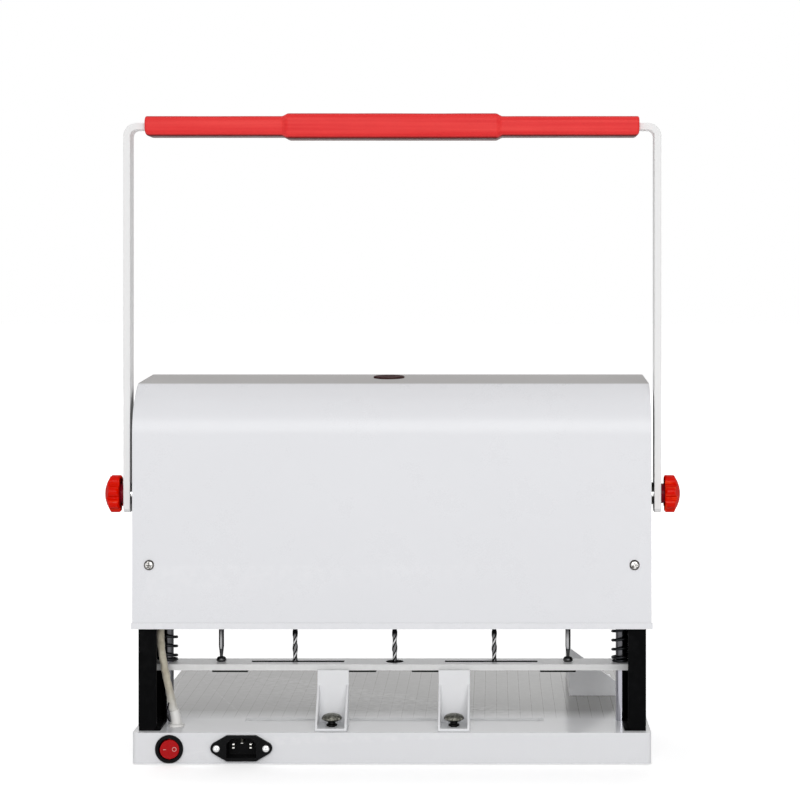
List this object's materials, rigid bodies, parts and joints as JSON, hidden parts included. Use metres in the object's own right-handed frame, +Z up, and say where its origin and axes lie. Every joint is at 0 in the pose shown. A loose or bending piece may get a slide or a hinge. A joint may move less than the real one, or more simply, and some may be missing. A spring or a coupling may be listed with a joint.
{
  "type": "three-hole binding machine",
  "caption": "Desk paper drill: a lever lowers a boxed head with twist drills on guide rods, over a flat base with a sprung press bar and paper stops.",
  "frame": {"origin": "middle of the object's footprint, on the surface that it stands on", "axes": "+Z up, +Y towards the operator, +X to the right seen from the rear"},
  "size_m": [0.4698, 0.3044, 0.5285],
  "materials": {
    "white_paint": "satin powder coat",
    "black_paint": "satin black powder coat",
    "chrome": "polished",
    "bare_steel": "zinc plated",
    "gear_steel": "machined",
    "drill_steel": "black oxide",
    "spring_steel": "black oxide",
    "press_metal": "satin",
    "bronze": "sintered",
    "blade_brass": "plated",
    "black_plastic": "moulded",
    "red_plastic": "moulded",
    "red_lens": "moulded",
    "red_foam": "moulded foam",
    "rubber": "moulded",
    "white_plastic": "moulded",
    "sleeve": "braided",
    "board": "printed circuit board",
    "badge": "blank disc",
    "screw_alloy": "cast"
  },
  "bodies": {
    "base": {"base_tray": "white_paint", "bottom_plate": "bare_steel", "rubber_feet": "rubber", "drill_pad": "white_plastic", "left_column": "black_paint", "right_column": "black_paint", "racks": "gear_steel", "guide_rods": "chrome", "rod_nuts": "bare_steel", "tie_bar": "bare_steel", "column_screws": "bare_steel", "inlet_housing": "black_plastic", "inlet_blades": "blade_brass", "inlet_screws": "bare_steel", "switch_bezel": "black_plastic", "power_board": "board", "sleeve_grommet": "white_plastic", "wire_sleeve": "sleeve", "return_springs": "bare_steel"},
    "rocker": {"rocker": "red_lens"},
    "head": {"carriage_plate": "bare_steel", "frame_plates": "bare_steel", "rod_bushings": "bronze", "shaft_bushes": "bronze", "idler_pins": "bare_steel", "centre_motor": "gear_steel", "terminal_block": "white_plastic", "rear_cover": "white_paint", "front_cover": "white_paint", "left_side_panel": "white_paint", "right_side_panel": "white_paint", "cover_screws": "bare_steel", "badge_plate": "badge", "press_springs": "spring_steel"},
    "left_idler": {"left_idler": "gear_steel"},
    "right_idler": {"right_idler": "gear_steel"},
    "left_unit": {"left_motor": "gear_steel"},
    "right_unit": {"right_motor": "gear_steel"},
    "left_spindle": {"left_chuck": "gear_steel", "left_drill": "drill_steel"},
    "centre_spindle": {"centre_chuck": "gear_steel", "centre_drill": "drill_steel"},
    "right_spindle": {"right_chuck": "gear_steel", "right_drill": "drill_steel"},
    "lever": {"cross_shaft": "bare_steel", "sector_gears": "gear_steel", "shaft_spacers": "bare_steel", "handle_frame": "white_paint", "grip": "red_foam"},
    "left_knob": {"left_knob": "red_plastic"},
    "right_knob": {"right_knob": "red_plastic"},
    "press": {"press_bar": "press_metal", "press_pads": "rubber", "hanger_pins": "gear_steel"},
    "left_stop": {"left_stop": "white_paint"},
    "right_stop": {"right_stop": "white_paint"},
    "left_stop_screw": {"left_stop_screw": "screw_alloy"},
    "right_stop_screw": {"right_stop_screw": "screw_alloy"},
    "side_gauge": {"side_gauge": "white_paint", "gauge_magnets": "bare_steel"}
  },
  "joints": [
    {"name": "head_lower", "type": "slide", "parent": "base", "child": "head", "axis": [0, 0, -1], "range_m": [0, 0.042], "stiffness_N_per_m": 800, "springref_m": -0.15, "deforming": ["wire_sleeve", "return_springs"]},
    {"name": "handle_swing", "type": "hinge", "parent": "head", "child": "lever", "pos_m": [0, -0.13182, 0.2185], "axis": [-1, 0, 0], "range_deg": [0, 85.9]},
    {"name": "left_idler_turn", "type": "hinge", "parent": "head", "child": "left_idler", "pos_m": [-0.199, -0.09182, 0.2185], "axis": [1, 0, 0], "range_deg": [0, 201]},
    {"name": "right_idler_turn", "type": "hinge", "parent": "head", "child": "right_idler", "pos_m": [0.199, -0.09182, 0.2185], "axis": [1, 0, 0], "range_deg": [0, 201]},
    {"name": "press_bar_lift", "type": "slide", "parent": "head", "child": "press", "axis": [0, 0, 1], "range_m": [0, 0.03], "stiffness_N_per_m": 2000, "springref_m": -0.02, "deforming": ["press_springs"]},
    {"name": "left_unit_slide", "type": "slide", "parent": "head", "child": "left_unit", "axis": [-1, 0, 0], "range_m": [-0.038, 0.033]},
    {"name": "right_unit_slide", "type": "slide", "parent": "head", "child": "right_unit", "axis": [1, 0, 0], "range_m": [-0.038, 0.033]},
    {"name": "left_drill_spin", "type": "hinge", "parent": "left_unit", "child": "left_spindle", "pos_m": [-0.083, -0.09832, 0.1], "axis": [0, 0, 1], "continuous": true},
    {"name": "centre_drill_spin", "type": "hinge", "parent": "head", "child": "centre_spindle", "pos_m": [0, -0.09832, 0.1], "axis": [0, 0, 1], "continuous": true},
    {"name": "right_drill_spin", "type": "hinge", "parent": "right_unit", "child": "right_spindle", "pos_m": [0.083, -0.09832, 0.1], "axis": [0, 0, 1], "continuous": true},
    {"name": "left_knob_turn", "type": "hinge", "parent": "lever", "child": "left_knob", "pos_m": [-0.227, -0.13182, 0.2185], "axis": [-1, 0, 0], "continuous": true},
    {"name": "right_knob_turn", "type": "hinge", "parent": "lever", "child": "right_knob", "pos_m": [0.227, -0.13182, 0.2185], "axis": [1, 0, 0], "continuous": true},
    {"name": "power_rocker", "type": "hinge", "parent": "base", "child": "rocker", "pos_m": [-0.1804, -0.14582, 0.0129], "axis": [0, 0, -1], "range_deg": [0, 16]},
    {"name": "left_stop_slide", "type": "slide", "parent": "base", "child": "left_stop", "axis": [0, 1, 0], "range_m": [-0.005, 0.002]},
    {"name": "right_stop_slide", "type": "slide", "parent": "base", "child": "right_stop", "axis": [0, 1, 0], "range_m": [-0.005, 0.002]},
    {"name": "left_stop_screw_turn", "type": "hinge", "parent": "base", "child": "left_stop_screw", "pos_m": [-0.05, -0.13082, 0.03], "axis": [0, 0, 1], "continuous": true},
    {"name": "right_stop_screw_turn", "type": "hinge", "parent": "base", "child": "right_stop_screw", "pos_m": [0.05, -0.13082, 0.03], "axis": [0, 0, 1], "continuous": true},
    {"name": "side_gauge_slide", "type": "slide", "parent": "base", "child": "side_gauge", "axis": [1, 0, 0], "range_m": [-0.06, 0.015]}
  ],
  "couplings": [
    {"joint": "head_lower", "follows": "handle_swing", "m_per_rad": 0.028},
    {"joint": "left_idler_turn", "follows": "handle_swing", "ratio": 2.3333},
    {"joint": "right_idler_turn", "follows": "handle_swing", "ratio": 2.3333}
  ]
}
